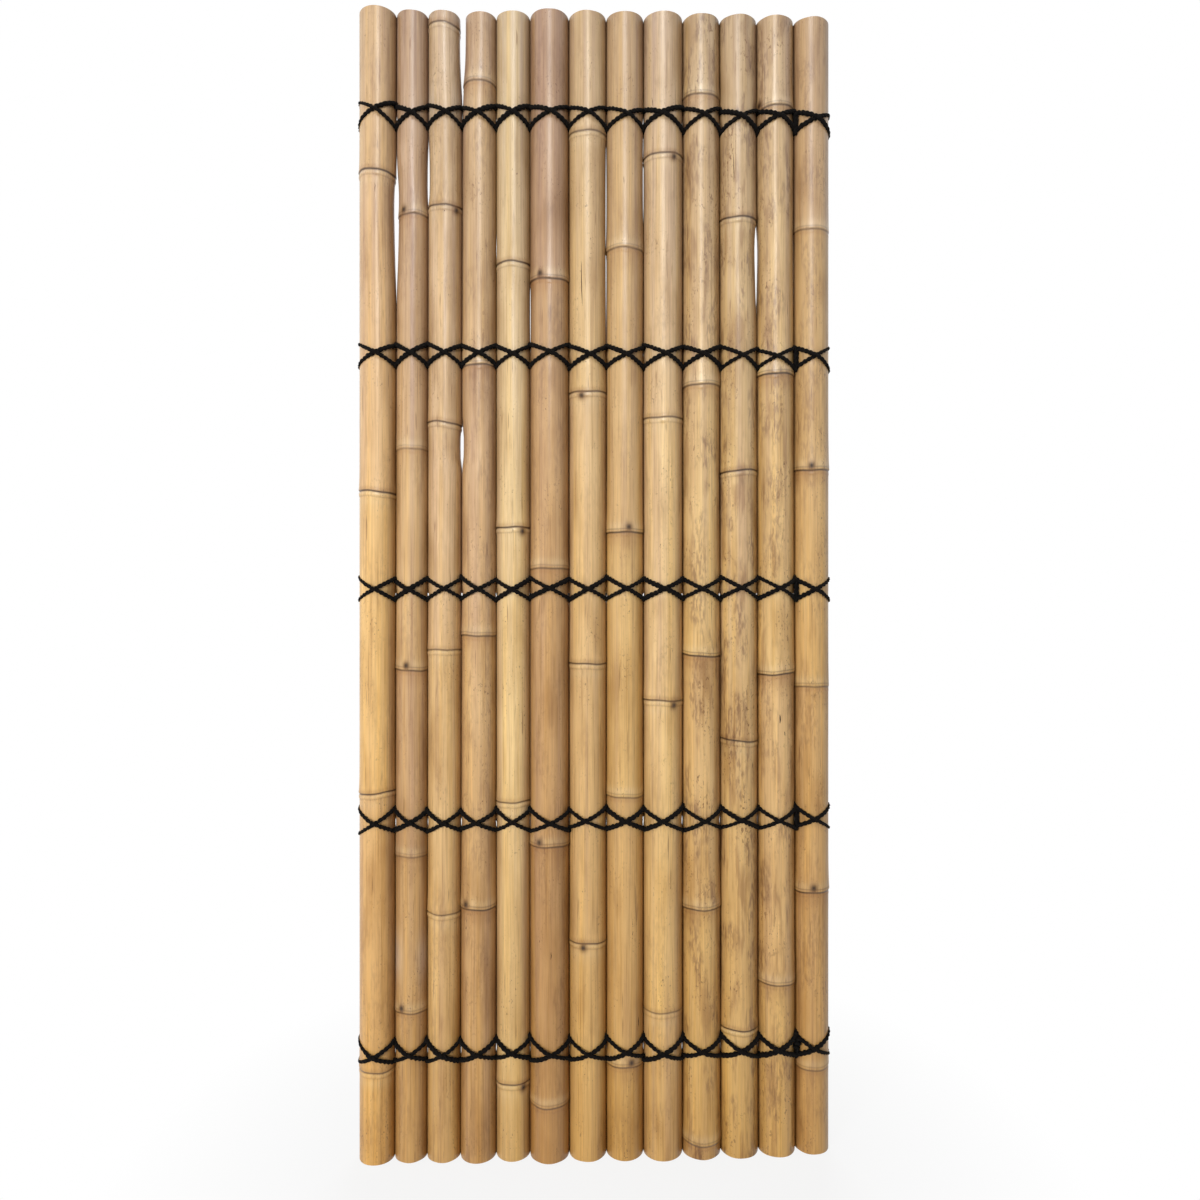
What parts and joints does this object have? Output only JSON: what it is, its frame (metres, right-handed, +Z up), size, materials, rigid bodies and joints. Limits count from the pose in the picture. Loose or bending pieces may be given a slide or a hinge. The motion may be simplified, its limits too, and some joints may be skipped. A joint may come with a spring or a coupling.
{
  "type": "bamboo fence panel",
  "caption": "Upright panel of whole bamboo culms side by side, tied to split-bamboo rails behind with rows of crossed black cord; screens or fences a garden",
  "frame": {"origin": "middle of the panel's foot, on the ground plane under the culms", "axes": "+Z up along the culms, +X across the panel to the right, the culm face looks along -Y"},
  "size_m": [0.7511, 0.0824, 1.8001],
  "materials": {
    "culm_golden": "satin, natural skin",
    "culm_pale": "satin, natural skin",
    "culm_brown": "satin, natural skin",
    "split_rail": "matt, split and weathered",
    "black_cord": "matt fibre"
  },
  "bodies": {
    "root": {"pole_01": "culm_brown", "pole_02": "culm_brown", "pole_03": "culm_pale", "pole_04": "culm_brown", "pole_05": "culm_pale", "pole_06": "culm_brown", "pole_07": "culm_golden", "pole_08": "culm_golden", "pole_09": "culm_pale", "pole_10": "culm_golden", "pole_11": "culm_pale", "pole_12": "culm_golden", "pole_13": "culm_brown", "rail_1": "split_rail", "rail_2": "split_rail", "rail_3": "split_rail", "rail_4": "split_rail", "rail_5": "split_rail", "lashing_1_under": "black_cord", "lashing_1_over": "black_cord", "lashing_2_under": "black_cord", "lashing_2_over": "black_cord", "lashing_3_under": "black_cord", "lashing_3_over": "black_cord", "lashing_4_under": "black_cord", "lashing_4_over": "black_cord", "lashing_5_under": "black_cord", "lashing_5_over": "black_cord"}
  },
  "joints": []
}
